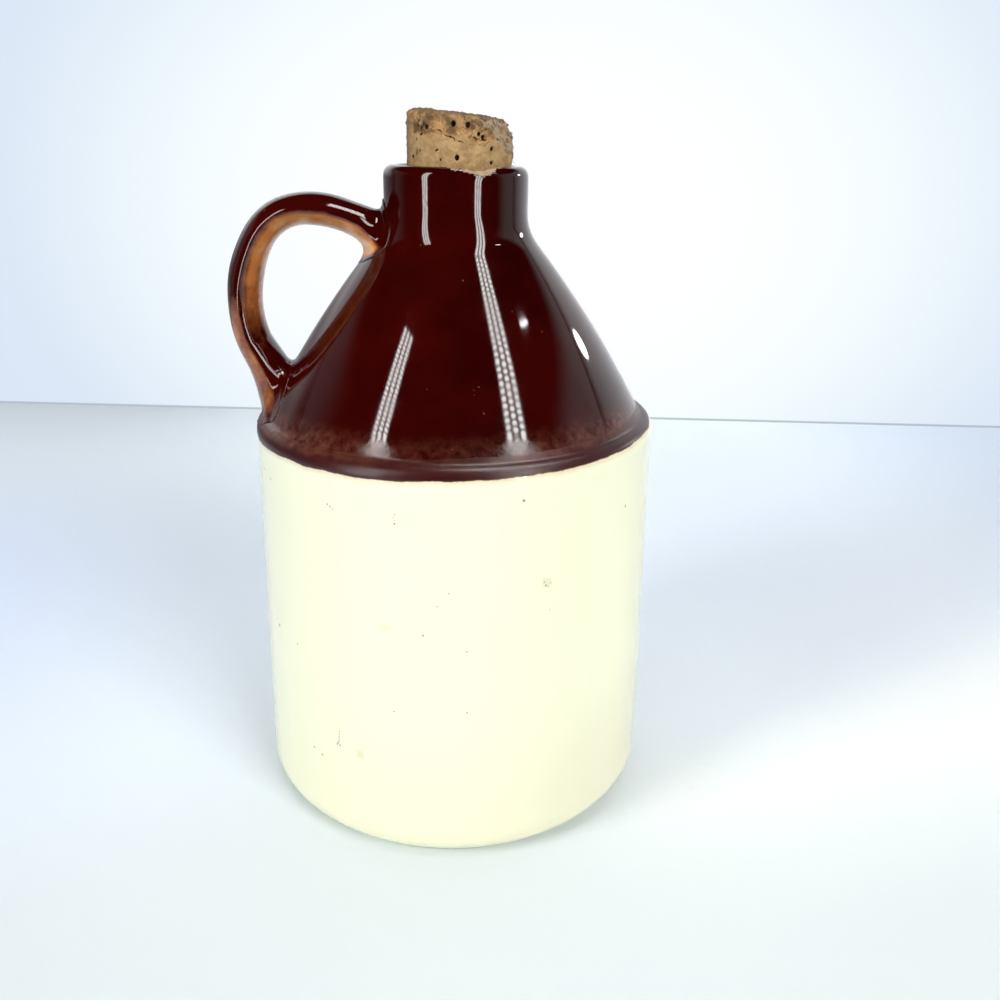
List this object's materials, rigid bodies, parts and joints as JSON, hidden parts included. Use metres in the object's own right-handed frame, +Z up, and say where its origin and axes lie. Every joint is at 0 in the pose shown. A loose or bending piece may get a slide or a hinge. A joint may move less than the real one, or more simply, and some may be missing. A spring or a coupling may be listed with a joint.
{
  "type": "stoneware syrup jug",
  "caption": "Small corked stoneware jug: straight cream body, brown glazed cone shoulder and neck, loop handle at one side, worn cork in its mouth.",
  "frame": {"origin": "centre of the flat underside, on the jug's axis, at the level of the surface it stands on", "axes": "+Z up along the jug's axis; the handle points along -X, so +X is the side away from the handle"},
  "size_m": [0.1085, 0.1046, 0.1743],
  "materials": {
    "glazed_stoneware": "gloss",
    "cork": "matte, worn"
  },
  "bodies": {
    "root": {"jug": "glazed_stoneware", "cork": "cork"}
  },
  "joints": []
}
